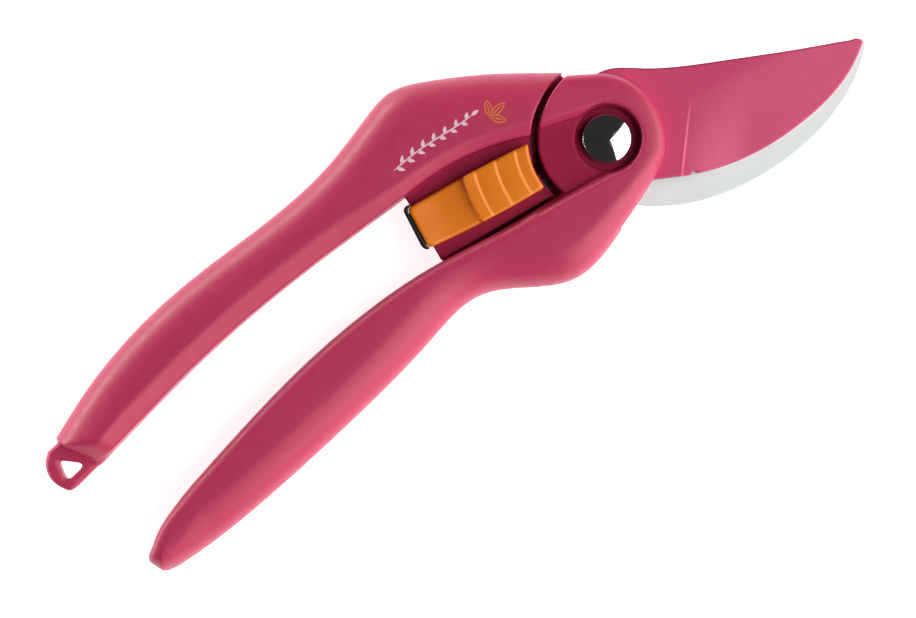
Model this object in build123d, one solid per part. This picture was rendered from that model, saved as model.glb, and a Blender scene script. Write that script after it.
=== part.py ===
from build123d import *
import os
from math import cos, radians, sin

# Small one-hand bypass pruner, closed and unlocked, in millimetres.
# Origin: on the pivot axis, in the plane that the pruner lies on.
# +X runs to the blade tip, +Y to the handle with the hang hole, +Z out of the face with the domed bolt.

# ---- driving dimensions -------------------------------------------------------------------------
BODY = 16.0               # thickness of both handles
LUG_BACK = 4.0            # the upper handle's back lug reaches this height
HOOK_TOP = 7.45           # front face of the counter blade
BLADE_BACK, BLADE_TOP = 7.5, 10.5
GRIND_SLOPE = 0.12        # fall of the ground face per millimetre towards the cutting edge
WEB_BACK, WEB_TOP = 2.5, 11.5
LUG_RECESS = 13.4         # sunk part of the front lug, beside the thumb slide
POCKET_FLOOR = 12.0       # seat of the bolt head
POCKET_LOW, POCKET_HIGH = 6.7, 7.6    # radius of the bolt head's pocket at its floor and at its mouth
FRONT_LUG_RADIUS = 15.1
HEAD_GAP_RADIUS = 16.6    # concave end of the upper handle, round the front lug
BACK_LUG_RADIUS = 14.6
BACK_GAP_RADIUS = 17.0    # concave end of the lower handle, round the back lug
STOP_RADIUS = 19.6        # room for the neck of the counter blade while the tool opens
COLLAR_RADIUS = 15.4      # shelf of the upper handle, under the gap round the front lug
PLAY = 0.3                # gap between faces that pass each other
EDGE_RADIUS = 3.5         # rounding of the handles' outer edges

SHANK_RADIUS = 3.0
BUSH_RADIUS = 4.0
RUNNING_FIT = 0.05        # radial clearance of the turning fits
HEAD_RADIUS = 5.3
DOME_RISE = 1.6           # the dome stands on a short cylinder
WASHER = 0.5              # thickness of the head washer and of the nut washer
THREAD_RADIUS = 2.5

NOSE_LOW, NOSE_HIGH = 8.1, 9.9
NOSE_Y = (-3.4, -0.4)
TOOTH_ANGLES = (172.5, 178.5)

WIRE = 1.1                # return spring wire
COIL_RADIUS = 7.4
COIL_FLOOR = 0.9
SPRING_LEG = 16.6

# ---- outlines, seen from the front --------------------------------------------------------------
UPPER_OUTER = [(-1.9, 18.0), (-14, 24.7), (-28, 30.8), (-35.5, 32.5), (-43, 30.3), (-56, 25.1),
               (-70, 21.9), (-94, 18.7), (-110, 15.1), (-126, 9.0), (-137, 3.2)]
UPPER_TAIL = [(-137, 3.2), (-140.9, 0.0), (-141.5, -4.3), (-139.8, -7.4), (-136.5, -7.6)]
UPPER_INNER = [(-136.5, -7.6), (-128, -5.3), (-110, -0.1), (-90, 4.7), (-66, 8.5), (-44.2, 11.1)]
UPPER_RECESS = [(-44.2, 11.1), (-30, 12.1), (-14.0, 8.9)]
LOWER_INNER = [(-14.1, -5.4), (-30, -5.7), (-46, -5.1), (-62, -6.1), (-86, -10.8), (-108, -17.5),
               (-122, -22.6), (-129, -27.0)]
LOWER_TIP = [(-129, -27.0), (-132.2, -30.2), (-131.0, -33.0), (-127, -33.9)]
LOWER_OUTER = [(-127, -33.9), (-106, -31.3), (-82, -26.2), (-54, -18.5), (-41, -15.7), (-31, -19.3),
               (-21, -22.9), (-8, -19.3), (5.0, -12.6)]
LUG_BRIDGE = [(-1.9, 18.0), (1.5, 14.4), (0, 0), (-13.0, -5.6), (-16.2, -5.6), (-16.9, -3.0), (-26, -3.0),
              (-26, 15)]
LUG_CORNER = (-0.8, 16.2)
LUG_RIGHT = [(5.0, -12.6), (11.2, -5.5), (12.4, 2.5), (9.3, 9.8), (4.8, 13.4)]
BLADE_SPINE = [(0, 12.6), (4.0, 13.4), (7.4, 13.2), (14, 9.8), (30, 2.4), (45, -3.5), (57.4, -7.9)]
BLADE_EDGE = [(59.0, -9.5), (49, -15.6), (40, -17.9), (30, -18.8), (14.5, -16.6)]
HOOK_OUTER = [(-1, -15.8), (12, -22.2), (26, -23.9), (40, -22.1), (52, -17.1), (59.8, -10.4)]
HOOK_INNER = [(59.3, -8.6), (46, -12.8), (32, -15.2), (20, -13.2), (11, -6.9)]
UP_LEFT, DOWN_RIGHT = (-0.88, -0.47), (0.97, 0.25)

# Thumb slide from its pivot end to its outer end, as distance from the pivot and height.
BUTTON_PROFILE = [(17, 12.8), (17, 15.2), (20.0, 15.0), (20.4, 15.4), (24.7, 15.1), (25.1, 15.5),
                  (29.5, 15.2), (29.9, 15.6), (32.2, 15.5), (32.6, 14.1), (38.5, 13.8), (46, 14.4),
                  (46, 11.8), (19.5, 11.8), (19.5, 12.8)]
BUTTON_PLAN = [(-45.1, 8.5), (-30, 8.7), (-14, 7.6), (-14, -2.4), (-30, -2.6), (-45.3, -1.3)]


def plate(face, low, high):
    """A flat outline given thickness between two heights."""
    return extrude(Pos(0, 0, low) * face, amount=high - low, dir=(0, 0, 1))


def disc(radius, low, high, x=0.0, y=0.0):
    return Pos(x, y, (low + high) / 2) * Cylinder(radius, high - low)


def block(x_range, y_range, z_range):
    """An upright box between two corners."""
    size = [high - low for low, high in (x_range, y_range, z_range)]
    middle = [(high + low) / 2 for low, high in (x_range, y_range, z_range)]
    return Pos(*middle) * Box(*size)


def rounded(outline, shortest):
    """A handle's full thickness, with its long outline edges rounded front and back."""
    solid = plate(outline, 0, BODY)
    faces = solid.faces().sort_by(Axis.Z)
    edges = [edge for face in (faces[0], faces[-1]) for edge in face.edges() if edge.length > shortest]
    return fillet(edges, EDGE_RADIUS)


def polar(radius, angle):
    return radius * cos(radians(angle)), radius * sin(radians(angle))


def sector(inner, outer, start, end, low, high):
    """Part of a ring about the pivot, between two angles."""
    middle = (start + end) / 2
    ring = make_face([
        Line(polar(inner, start), polar(outer, start)),
        ThreePointArc(polar(outer, start), polar(outer, middle), polar(outer, end)),
        Line(polar(outer, end), polar(inner, end)),
        ThreePointArc(polar(inner, end), polar(inner, middle), polar(inner, start)),
    ])
    return plate(ring, low, high)


def closed(*edges):
    return make_face(list(edges))


# ---- outlines as faces --------------------------------------------------------------------------
def upper_outline():
    """Upper handle from the hang hole to the arc that faces the front lug."""
    return closed(
        Spline(*UPPER_OUTER, tangents=[(-0.87, 0.49), UP_LEFT]),
        Spline(*UPPER_TAIL, tangents=[UP_LEFT, DOWN_RIGHT]),
        Spline(*UPPER_INNER, tangents=[DOWN_RIGHT, (0.99, 0.13)]),
        Spline(*UPPER_RECESS),
        ThreePointArc(UPPER_RECESS[-1], polar(HEAD_GAP_RADIUS, 120), UPPER_OUTER[0]),
    )


def lower_outline():
    """Lower handle with its front lug in one outline."""
    return closed(
        ThreePointArc(LUG_CORNER, (-4.2, 15.05), polar(FRONT_LUG_RADIUS, 125)),
        ThreePointArc(polar(FRONT_LUG_RADIUS, 125), polar(FRONT_LUG_RADIUS, 160), LOWER_INNER[0]),
        Spline(*LOWER_INNER, tangents=[(-1, -0.02), (-0.70, -0.72)]),
        Spline(*LOWER_TIP, tangents=[(-0.80, -0.60), (1, -0.12)]),
        Spline(*LOWER_OUTER, tangents=[(1, 0.05), (0.87, 0.49)]),
        Spline(*LUG_RIGHT),
        Line(LUG_RIGHT[-1], LUG_CORNER),
    )


def hook_outline():
    return closed(
        Spline(*HOOK_OUTER),
        ThreePointArc(HOOK_OUTER[-1], (59.9, -9.4), HOOK_INNER[0]),
        Spline(*HOOK_INNER),
        ThreePointArc(HOOK_INNER[-1], polar(13.0, 40), polar(13.0, 110)),
        Polyline(polar(13.0, 110), (-36, 24), (-41, 18), (-13, 8)),
        ThreePointArc((-13, 8), polar(14.2, 200), polar(14.2, 245)),
        Line(polar(14.2, 245), HOOK_OUTER[0]),
    )


def blade_outline():
    return closed(
        Spline(*BLADE_SPINE),
        ThreePointArc(BLADE_SPINE[-1], (58.7, -8.6), BLADE_EDGE[0]),
        Spline(*BLADE_EDGE),
        Polyline(BLADE_EDGE[-1], (12, -15.8), (4.8, -12.8), (-12, -16.5), (-44, -12.5), (-44, -8.5),
                 (-12.5, -8.5), polar(12.6, 212)),
        ThreePointArc(polar(12.6, 212), polar(12.6, 150), BLADE_SPINE[0]),
    )


def hang_hole():
    triangle = closed(Polyline((-138.2, -0.9), (-138.8, -5.7), (-133.5, -4.5), close=True))
    return fillet(triangle.vertices(), 0.7)


# ---- handles ------------------------------------------------------------------------------------
def upper_handle():
    grip = rounded(upper_outline(), 90)
    web_end = sector(HEAD_GAP_RADIUS, 46, 160, 200, WEB_BACK, WEB_TOP)
    web = block((-44.2, -10), (-4.8, 12.5), (WEB_BACK, WEB_TOP)) & web_end
    lug_bridge = plate(closed(Polyline(*LUG_BRIDGE, close=True)), 0, LUG_BACK)
    collar = sector(COLLAR_RADIUS, COLLAR_RADIUS + 2.4, 95, 168, WEB_BACK, BLADE_TOP - 1)
    handle = grip + web + lug_bridge + collar + disc(BACK_LUG_RADIUS, 0, LUG_BACK)

    # The tab with the hang hole is thinner than the grip.
    tab = closed(Polyline((-150, 5.9), (-138, -1.1), (-131, -5.6), (-126, -14), (-150, -14), close=True))
    handle -= plate(tab, 10.5, BODY) + plate(tab, 0, 5.5)
    handle -= plate(hang_hole(), 0, BODY)

    # Seat of the counter blade, moulded round its tang.
    handle -= plate(hook_outline(), LUG_BACK, HOOK_TOP)

    # Slot for the lock slider: a wide track under a narrow neck, open at the pivot end.
    handle -= block((-42.2, -10), (NOSE_Y[0] - 0.15, 5.15), (7.6, 10.1))
    handle -= block((-42.2, -10), (0.85, 4.15), (10.0, WEB_TOP))

    # Pivot hole, nut pocket and the ring that holds the return spring.
    handle -= disc(SHANK_RADIUS + RUNNING_FIT, 0, LUG_BACK)
    handle -= disc(4.9, 0, 3.4)
    handle -= ring(COIL_RADIUS + 0.9, COIL_RADIUS - 0.9, COIL_FLOOR, LUG_BACK)
    handle -= sector(COIL_RADIUS, 16.5, 174, 262, 2.5, LUG_BACK)
    return handle


def lower_handle():
    handle = rounded(lower_outline(), 130)
    handle -= disc(BACK_GAP_RADIUS, 0, BLADE_TOP)
    handle -= sector(BACK_GAP_RADIUS - 1, STOP_RADIUS, 234, 300, 0, BLADE_TOP)
    handle -= block((-16.4, 20), (-7, 20), (0, BLADE_TOP))

    # Ledge behind the web, clear of the back lug.
    ledge = block((-44, -15), (-9, -3.4), (0, WEB_BACK - PLAY))
    handle += ledge - disc(BACK_GAP_RADIUS + PLAY, 0, WEB_BACK)

    # The sunk flat beside the thumb slide, and the round pocket of the bolt head.
    recess = closed(Polyline((-18, 11.2), (-8, 9.0), (-0.5, 7.55), (-0.5, -7.5), (-18, -6.4), close=True))
    handle -= plate(recess, LUG_RECESS, BODY)
    pocket = Cone(POCKET_LOW, POCKET_HIGH, BODY - POCKET_FLOOR)
    handle -= Pos(0, 0, (POCKET_FLOOR + BODY) / 2) * pocket

    # Seat of the cutting blade, moulded round its tang.
    handle -= plate(blade_outline(), BLADE_BACK, BLADE_TOP)
    handle -= disc(BUSH_RADIUS, BLADE_TOP, POCKET_FLOOR)

    # Locking tooth, under the rim of the lug.
    handle += sector(12.9, FRONT_LUG_RADIUS, *TOOTH_ANGLES, BLADE_BACK + PLAY, BLADE_TOP)

    # Groove for the spring's moving leg, and the seat of the rubber stop.
    handle -= sector(16.5, 19.0, 193, 229, 2.5, LUG_BACK + 0.5)
    handle -= block((-34.1, -25.9), (-9, -5), (2.9, 7.1))
    return handle


# ---- blades -------------------------------------------------------------------------------------
def cutting_blade():
    """Flat plate whose front is ground down towards the cutting edge, beyond a slanting heel line."""
    blade = plate(blade_outline(), BLADE_BACK, BLADE_TOP)
    ground = Plane(origin=(20, -1.4, BLADE_TOP), x_dir=(1, -0.05, 0), z_dir=(-0.006, -GRIND_SLOPE, 1))
    wedge = ground * Pos(15, -20, 5) * Box(90, 40, 10)
    heel = closed(Polyline((10.0, -15.0), (20, -1.4), (70, -3.9), (70, -40), (10, -40), close=True))
    blade -= wedge & plate(heel, BLADE_BACK, BLADE_TOP + 1)
    return blade - disc(BUSH_RADIUS, BLADE_BACK, BLADE_TOP)


def counter_blade():
    """Thick hook behind the cutting blade, sunk for the friction washer."""
    hook = plate(hook_outline(), LUG_BACK, HOOK_TOP)
    hook -= disc(SHANK_RADIUS + RUNNING_FIT, LUG_BACK, HOOK_TOP)
    return hook - disc(6.6, HOOK_TOP - 0.55, HOOK_TOP)


# ---- pivot --------------------------------------------------------------------------------------
def pivot_bolt():
    """Low dome on a round head, over a plain shank with a threaded end."""
    head_base = POCKET_FLOOR + WASHER
    ball_radius = (HEAD_RADIUS ** 2 + DOME_RISE ** 2) / (2 * DOME_RISE)
    ball = Pos(0, 0, BODY - ball_radius) * Sphere(ball_radius)
    head = disc(HEAD_RADIUS, head_base, BODY - DOME_RISE) + (ball & disc(HEAD_RADIUS, BODY - DOME_RISE, BODY))
    shank = disc(SHANK_RADIUS, 3.4, head_base) + disc(THREAD_RADIUS, 0.4, 3.4)
    return head + shank


def ring(outer, inner, low, high):
    return disc(outer, low, high) - disc(inner, low, high)


def pivot_nut():
    nut = plate(RegularPolygon(radius=4.5, side_count=6), 0.4, 2.9)
    return nut - disc(THREAD_RADIUS, 0, 3.4)


def return_spring():
    """Torsion spring: one end sits in the back lug, the straight leg presses on the lower handle."""
    coil = Rot(0, 0, -20) * Helix(pitch=1.1, height=1.65, radius=COIL_RADIUS)
    leg = Line(coil @ 1, (coil @ 1) + (coil % 1) * SPRING_LEG)
    path = Wire([coil, leg])
    wire = sweep(Plane(origin=path @ 0, z_dir=path % 0) * Circle(WIRE / 2), path)
    return Pos(0, 0, COIL_FLOOR + WIRE / 2 + 0.1) * wire


# ---- lock ---------------------------------------------------------------------------------------
def lock_button():
    """Thumb slide: three ridges about the pivot, a dished end, and a hollow underside."""
    bar = revolve(Plane.XZ * closed(Polyline(*BUTTON_PROFILE, close=True)), Axis.Z)
    button = bar & plate(closed(Polyline(*BUTTON_PLAN, close=True)), 11, BODY)
    button -= disc(HEAD_GAP_RADIUS + 0.6, 11, BODY)
    button -= block((-50, -20.5), (-0.4, 7.4), (11, 13.1))
    return button - disc(1.25, 11, 14.6, -26, 2.5)


def lock_slider():
    """Carrier under the thumb slide, with the nose that meets the tooth of the lug."""
    slider = block((-46.3, -20.8), (-0.2, 7.2), (WEB_TOP + 0.2, 13.1))
    slider += block((-46.3, -45.35), (-1.0, 8.7), (WEB_TOP + 0.2, 14.0))
    slider += block((-38.5, -20.8), (1.0, 4.0), (9.5, WEB_TOP + 0.3))
    slider += block((-40.5, -18.0), (NOSE_Y[0], 5.0), (NOSE_LOW, NOSE_HIGH))
    slider += block((-20.0, -15.6), NOSE_Y, (NOSE_LOW, NOSE_HIGH))
    slider -= disc(1.25, NOSE_LOW, 13.1, -26, 2.5)
    return slider - disc(2.2, NOSE_LOW, 9.3, -26, 2.5)


def lock_screw():
    screw = disc(2.2, NOSE_LOW + 0.1, 9.3, -26, 2.5) + disc(1.25, 9.3, 14.4, -26, 2.5)
    return screw - block((-27.6, -24.4), (2.2, 2.8), (NOSE_LOW, NOSE_LOW + 0.7))


def lock_detent_spring():
    """Thin leaf, bowed up from the floor of the slot."""
    strip = closed(
        ThreePointArc((-40, 7.6), (-36, 7.85), (-32, 7.6)),
        Polyline((-32, 7.6), (-32, 7.75)),
        ThreePointArc((-32, 7.75), (-36, 8.0), (-40, 7.75)),
        Polyline((-40, 7.75), (-40, 7.6)))
    return Pos(0, 2.5, 0) * extrude(Plane.XZ * strip, amount=2, both=True)


def stop_bumper():
    """Rubber block in the lower handle that the web lands on."""
    return block((-34, -26), (-8.9, -5.15), (3, 7))


NODES = {
    "upper_handle": upper_handle,
    "lower_handle": lower_handle,
    "cutting_blade": cutting_blade,
    "counter_blade": counter_blade,
    "pivot_bolt": pivot_bolt,
    "pivot_nut": pivot_nut,
    "head_washer": lambda: ring(5.0, SHANK_RADIUS + RUNNING_FIT, POCKET_FLOOR, POCKET_FLOOR + WASHER),
    "pivot_bush": lambda: ring(BUSH_RADIUS, SHANK_RADIUS + RUNNING_FIT, BLADE_BACK, POCKET_FLOOR),
    "friction_washer": lambda: ring(6.5, SHANK_RADIUS + RUNNING_FIT, HOOK_TOP - 0.55, BLADE_BACK),
    "nut_washer": lambda: ring(4.7, THREAD_RADIUS + RUNNING_FIT, 2.9, 3.4),
    "return_spring": return_spring,
    "lock_button": lock_button,
    "lock_slider": lock_slider,
    "lock_screw": lock_screw,
    "lock_detent_spring": lock_detent_spring,
    "stop_bumper": stop_bumper,
}

os.makedirs("parts", exist_ok=True)
for name, make in NODES.items():
    export_step(make(), f"parts/{name}.step")
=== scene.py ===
import bmesh
import bpy
import math
import numpy as np
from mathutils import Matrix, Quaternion, Vector
from mathutils.bvhtree import BVHTree


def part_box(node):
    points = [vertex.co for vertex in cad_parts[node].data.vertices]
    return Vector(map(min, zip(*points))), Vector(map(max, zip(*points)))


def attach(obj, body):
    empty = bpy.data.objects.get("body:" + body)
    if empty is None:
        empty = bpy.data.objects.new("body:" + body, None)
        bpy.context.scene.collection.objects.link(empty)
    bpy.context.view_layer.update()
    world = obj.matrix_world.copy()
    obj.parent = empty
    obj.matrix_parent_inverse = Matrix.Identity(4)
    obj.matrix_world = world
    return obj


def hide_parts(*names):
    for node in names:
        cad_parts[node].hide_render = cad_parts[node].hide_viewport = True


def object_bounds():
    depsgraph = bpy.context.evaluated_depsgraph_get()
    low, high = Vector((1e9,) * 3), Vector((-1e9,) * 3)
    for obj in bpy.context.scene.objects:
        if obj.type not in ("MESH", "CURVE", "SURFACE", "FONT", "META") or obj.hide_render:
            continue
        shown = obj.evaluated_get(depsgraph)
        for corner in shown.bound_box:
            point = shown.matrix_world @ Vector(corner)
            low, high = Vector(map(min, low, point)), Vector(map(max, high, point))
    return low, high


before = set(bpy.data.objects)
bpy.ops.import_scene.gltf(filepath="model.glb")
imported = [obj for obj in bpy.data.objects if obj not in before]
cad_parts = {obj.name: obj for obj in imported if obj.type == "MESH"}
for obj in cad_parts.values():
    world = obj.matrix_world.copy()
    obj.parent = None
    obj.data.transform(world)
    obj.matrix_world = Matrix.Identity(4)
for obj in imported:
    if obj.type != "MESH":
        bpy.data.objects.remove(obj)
CAD_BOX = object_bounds()

# Outlines and profiles are in millimetres, and meshes are written in metres. The pivot stands on
# the origin, x runs along the closed tool towards the blades' tips, and z rises to the front face.
MM = 0.001
CELL = 0.4          # grid of the moulded handles
FINE = 0.25        # grid of the blades and the thumb slide

# ---- heights that the frame gives ----------------------------------------------------------------


def heights(node):
    """Lowest and highest point of a CAD node, in mm."""
    low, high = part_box(node)
    return low.z / MM, high.z / MM


BACK, FRONT = heights("upper_handle")
MIDDLE = (BACK + FRONT) / 2
HALF = (FRONT - BACK) / 2
HOOK_BACK, HOOK_FRONT = heights("counter_blade")
BLADE_BACK, BLADE_FRONT = heights("cutting_blade")
WASHER_BACK, HEAD_SEAT = heights("head_washer")

# ---- sizes that more than one piece or material uses ---------------------------------------------
WEB_BACK, WEB_FRONT = 2.5, 11.5            # plate under the thumb slide
LUG_RECESS = 13.4                          # floor of the sunk flat in the front lug
POCKET_LOW, POCKET_HIGH = 6.7, 7.6         # radius of the bolt's pocket at its floor and its mouth
HEAD_GAP_RADIUS = 16.6                     # concave end of the upper handle
BACK_GAP_RADIUS = 17.0                     # concave end of the lower handle, behind the blade


# ---- outlines taken from the frame ---------------------------------------------------------------
def cut_loops(node, height):
    """Closed outlines where a CAD node crosses a height, as arrays of points in mm."""
    bm = bmesh.new()
    bm.from_mesh(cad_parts[node].data)
    bmesh.ops.remove_doubles(bm, verts=bm.verts, dist=1e-6)
    found = bmesh.ops.bisect_plane(
        bm, geom=bm.verts[:] + bm.edges[:] + bm.faces[:], dist=1e-7,
        plane_co=(0, 0, height * MM), plane_no=(0, 0, 1))["geom_cut"]
    edges = {item for item in found if isinstance(item, bmesh.types.BMEdge)}
    loops = []
    while edges:
        edge = edges.pop()
        first, last = edge.verts
        chain = [first, last]
        while last is not first:
            edge = next((e for e in last.link_edges if e in edges), None)
            if edge is None:
                break
            edges.discard(edge)
            last = edge.other_vert(last)
            chain.append(last)
        loops.append(np.array([v.co.xy[:] for v in chain[:-1]]) / MM)
    bm.free()
    return loops


def length_of(loop):
    return np.linalg.norm(np.roll(loop, -1, 0) - loop, axis=1).sum()


def thin_out(loop, least):
    """Drops points that are nearer than the given step to the one before."""
    kept = [loop[0]]
    for point in loop[1:]:
        if np.linalg.norm(point - kept[-1]) > least:
            kept.append(point)
    return np.array(kept)


def in_order(loop):
    """The same loop, run anticlockwise from its leftmost point."""
    after = np.roll(loop, -1, 0)
    area = 0.5 * np.sum(loop[:, 0] * after[:, 1] - after[:, 0] * loop[:, 1])
    if area < 0:
        loop = loop[::-1]
    leftmost = np.lexsort((loop[:, 1], loop[:, 0]))[0]
    return np.roll(loop, -leftmost, 0)


def rounded_out(loop, least=0.15, step=1.0, sharp=0.90):
    """A smooth curve through a loop's points that keeps its sharp corners."""
    loop = thin_out(in_order(loop), least)
    way_in, way_out = loop - np.roll(loop, 1, 0), np.roll(loop, -1, 0) - loop
    length_in = np.linalg.norm(way_in, axis=1)
    length_out = np.linalg.norm(way_out, axis=1)
    turn = np.sum(way_in * way_out, 1) / (length_in * length_out)
    slope = (way_in / length_in[:, None] ** 2 + way_out / length_out[:, None] ** 2)
    slope /= (1 / length_in + 1 / length_out)[:, None]
    corner = turn < sharp
    points = []
    for i in range(len(loop)):
        j = (i + 1) % len(loop)
        span = length_out[i]
        start = way_out[i] / span if corner[i] else slope[i]
        end = way_out[i] / span if corner[j] else slope[j]
        parts = max(1, int(round(span / step)))
        for t in np.arange(parts) / parts:
            a, b = 2 * t ** 3 - 3 * t ** 2 + 1, t ** 3 - 2 * t ** 2 + t
            c, d = -2 * t ** 3 + 3 * t ** 2, t ** 3 - t ** 2
            points.append(a * loop[i] + b * span * start + c * loop[j] + d * span * end)
    return np.array(points)


def outline(node, height):
    """The longest loop of a node at a height, smoothed."""
    return rounded_out(max(cut_loops(node, height), key=length_of))


def nearest(points, starts, alongs):
    """Distance from each point to a chain of short lines, and which side of it the point is on."""
    best = np.full(len(points), np.inf)
    side = np.zeros(len(points))
    for start, along in zip(starts, alongs):
        away = points - start
        t = np.clip(away @ along / (along @ along), 0, 1)
        away = away - t[:, None] * along
        reach = np.einsum("ij,ij->i", away, away)
        nearer = reach < best
        best[nearer] = reach[nearer]
        side[nearer] = (away[:, 1] * along[0] - away[:, 0] * along[1])[nearer]
    return np.sqrt(best), side


class Edge:
    """Part of an outline, anticlockwise between two landmarks, carried on straight at both ends."""

    def __init__(self, loop, start, end, reach=60.0):
        first = np.argmin(np.linalg.norm(loop - start, axis=1))
        last = np.argmin(np.linalg.norm(loop - end, axis=1))
        chain = np.roll(loop, -first, 0)[:(last - first) % len(loop) + 1]
        before = chain[0] + (chain[0] - chain[1]) / np.linalg.norm(chain[0] - chain[1]) * reach
        after = chain[-1] + (chain[-1] - chain[-2]) / np.linalg.norm(chain[-1] - chain[-2]) * reach
        chain = np.vstack([before, chain, after])
        self.start, self.along = chain[:-1], np.diff(chain, axis=0)

    def inside(self, points):
        """Distance to the edge, positive on the inside."""
        reach, side = nearest(points, self.start, self.along)
        return np.where(side < 0, -reach, reach)


class Loop:
    """A whole closed outline."""

    def __init__(self, loop):
        self.start, self.along = loop, np.roll(loop, -1, 0) - loop

    def inside(self, points):
        """Distance to the outline, positive on the inside."""
        reach, _ = nearest(points, self.start, self.along)
        x, y = points.T
        odd = np.zeros(len(points), bool)
        for (x0, y0), (dx, dy) in zip(self.start, self.along):
            level = (y0 > y) != (y0 + dy > y)
            if dy:
                odd ^= level & (x < x0 + (y - y0) / dy * dx)
        return np.where(odd, reach, -reach)


# ---- fields: negative inside, in mm --------------------------------------------------------------
def both(a, b, soft=0.5):
    """Intersection of two solids, with a rounded edge."""
    blend = np.maximum(soft - np.abs(a - b), 0) / soft
    return np.maximum(a, b) + blend * blend * soft / 4


def either(a, b, soft=0.5):
    """Union of two solids, with a filled corner."""
    return -both(-a, -b, soft)


def without(a, b, soft=0.5):
    """The first solid with the second cut away."""
    return both(a, -b, soft)


def between(value, low, high):
    return np.maximum(low - value, value - high)


def oblong(x, y, x_range, y_range):
    """Upright block with sharp corners."""
    return np.maximum(between(x, *x_range), between(y, *y_range))


def beside_sector(r, angle, middle, half):
    """How far a point lies outside a sector about the pivot, along its arc; angles in degrees."""
    return np.radians(np.abs(angle - middle) - half) * r


def past_line(x, y, start, toward):
    """Distance past a line through a point, in the direction that is square to the line."""
    return ((x - start[0]) * toward[0] + (y - start[1]) * toward[1]) / math.hypot(*toward)


def smooth(t):
    """Eases from 0 to 1."""
    t = np.clip(t, 0, 1)
    return t * t * (3 - 2 * t)


def risen(value, ease):
    """The value where it is positive, else 0, with a bend that is eased on either side of 0."""
    bend = (value + ease) ** 2 / (4 * ease)
    return np.where(value < -ease, 0, np.where(value > ease, value, bend))


def prism(x, y, corners, soft=0.3):
    """Upright prism on a convex outline whose corners run anticlockwise."""
    field = None
    for (x0, y0), (x1, y1) in zip(corners, corners[1:] + corners[:1]):
        size = math.hypot(x1 - x0, y1 - y0)
        side = ((y1 - y0) * (x - x0) - (x1 - x0) * (y - y0)) / size
        field = side if field is None else both(field, side, soft)
    return field


def crowned(depth, rise, width, power=2.05):
    """Full round edge: depth in from the edge, rise from the middle plane."""
    out = np.maximum(0, 1 - depth / width)
    return HALF * ((out ** power + (rise / HALF) ** power) ** (1 / power) - 1)


def rounded_edge(depth, below_top, radius):
    """Quarter-round between a wall and a flat top."""
    u, v = radius - depth, radius - below_top
    return np.hypot(np.maximum(u, 0), np.maximum(v, 0)) - radius + np.minimum(np.maximum(u, v), 0)


def bevelled(depth, rise, width, drop):
    """Plane that cuts the edge between a wall and the top."""
    slope = drop / width
    steepness = math.sqrt(1 + float(np.mean(slope)) ** 2)
    return (rise - HALF + (width - depth) * slope) / steepness


# ---- meshes from fields --------------------------------------------------------------------------
CUBE = [(i, j, k) for i in (0, 1) for j in (0, 1) for k in (0, 1)]


def sampled(field, low, high, cell):
    """Values of a field on a grid of points over a box."""
    counts = [int(math.ceil((h - l) / cell)) + 1 for l, h in zip(low, high)]
    xs, ys, zs = [l + np.arange(n) * cell for l, n in zip(low, counts)]
    gx, gy = np.meshgrid(xs, ys, indexing="ij")
    plan = field.plan(np.stack([gx.ravel(), gy.ravel()], 1))
    layers = [field.value(plan, np.full(gx.size, z)).reshape(gx.shape) for z in zs]
    return np.stack(layers, 2)


def crossing_points(values, active):
    """One point in each active cell: the mean of the places where its sides cross zero."""
    cells = np.argwhere(active)
    at_corner = {corner: values[tuple((cells + corner).T)] for corner in CUBE}
    total, hits = np.zeros((len(cells), 3)), np.zeros(len(cells))
    for a in CUBE:
        for axis in range(3):
            if a[axis]:
                continue
            b = tuple(1 if i == axis else v for i, v in enumerate(a))
            va, vb = at_corner[a], at_corner[b]
            cross = (va < 0) != (vb < 0)
            t = np.where(cross, va / np.where(cross, va - vb, 1), 0)
            place = np.tile(np.array(a, float), (len(cells), 1))
            place[:, axis] = t
            total[cross] += place[cross]
            hits += cross
    return cells + total / hits[:, None]


def quads_across(inside, number):
    """A quad round each grid line that passes through the surface, wound to face outwards."""
    step = np.eye(3, dtype=int)
    shape = number.shape
    quads = []
    for axis in range(3):
        u, v = (axis + 1) % 3, (axis + 2) % 3
        head = np.take(inside, range(0, inside.shape[axis] - 1), axis)
        tail = np.take(inside, range(1, inside.shape[axis]), axis)
        at = np.argwhere(head != tail)
        at = at[(at[:, u] > 0) & (at[:, v] > 0)]
        at = at[(at[:, u] < shape[u]) & (at[:, v] < shape[v])]
        ring = [number[tuple((at - step[u] * i - step[v] * j).T)]
                for i, j in ((1, 1), (0, 1), (0, 0), (1, 0))]
        ring = np.stack(ring, 1)
        outward = head[tuple(at.T)]
        ring[~outward] = ring[~outward][:, ::-1]
        quads.append(ring)
    return np.concatenate(quads)


def surface(field, low, high, cell):
    """Vertices and quads of the surface where a sampled field is zero."""
    values = sampled(field, low, high, cell)
    inside = values < 0
    nx, ny, nz = [n - 1 for n in values.shape]
    count = sum(inside[i:i + nx, j:j + ny, k:k + nz].astype(np.int8) for i, j, k in CUBE)
    active = (count > 0) & (count < len(CUBE))
    number = np.full(active.shape, -1)
    number[active] = np.arange(np.count_nonzero(active))
    verts = np.array(low) + crossing_points(values, active) * cell
    return verts, quads_across(inside, number)


def gradient(field, points, plan, here, step=0.05):
    """How fast a field grows along x, y and z, given its plan and value at the points."""
    x_y, z = points[:, :2], points[:, 2]
    slope = np.zeros_like(points)
    for axis in (0, 1):
        moved = x_y.copy()
        moved[:, axis] += step
        slope[:, axis] = (field.value(field.plan(moved), z) - here) / step
    slope[:, 2] = (field.value(plan, z + step) - field.value(plan, z - step)) / (2 * step)
    return slope


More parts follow.
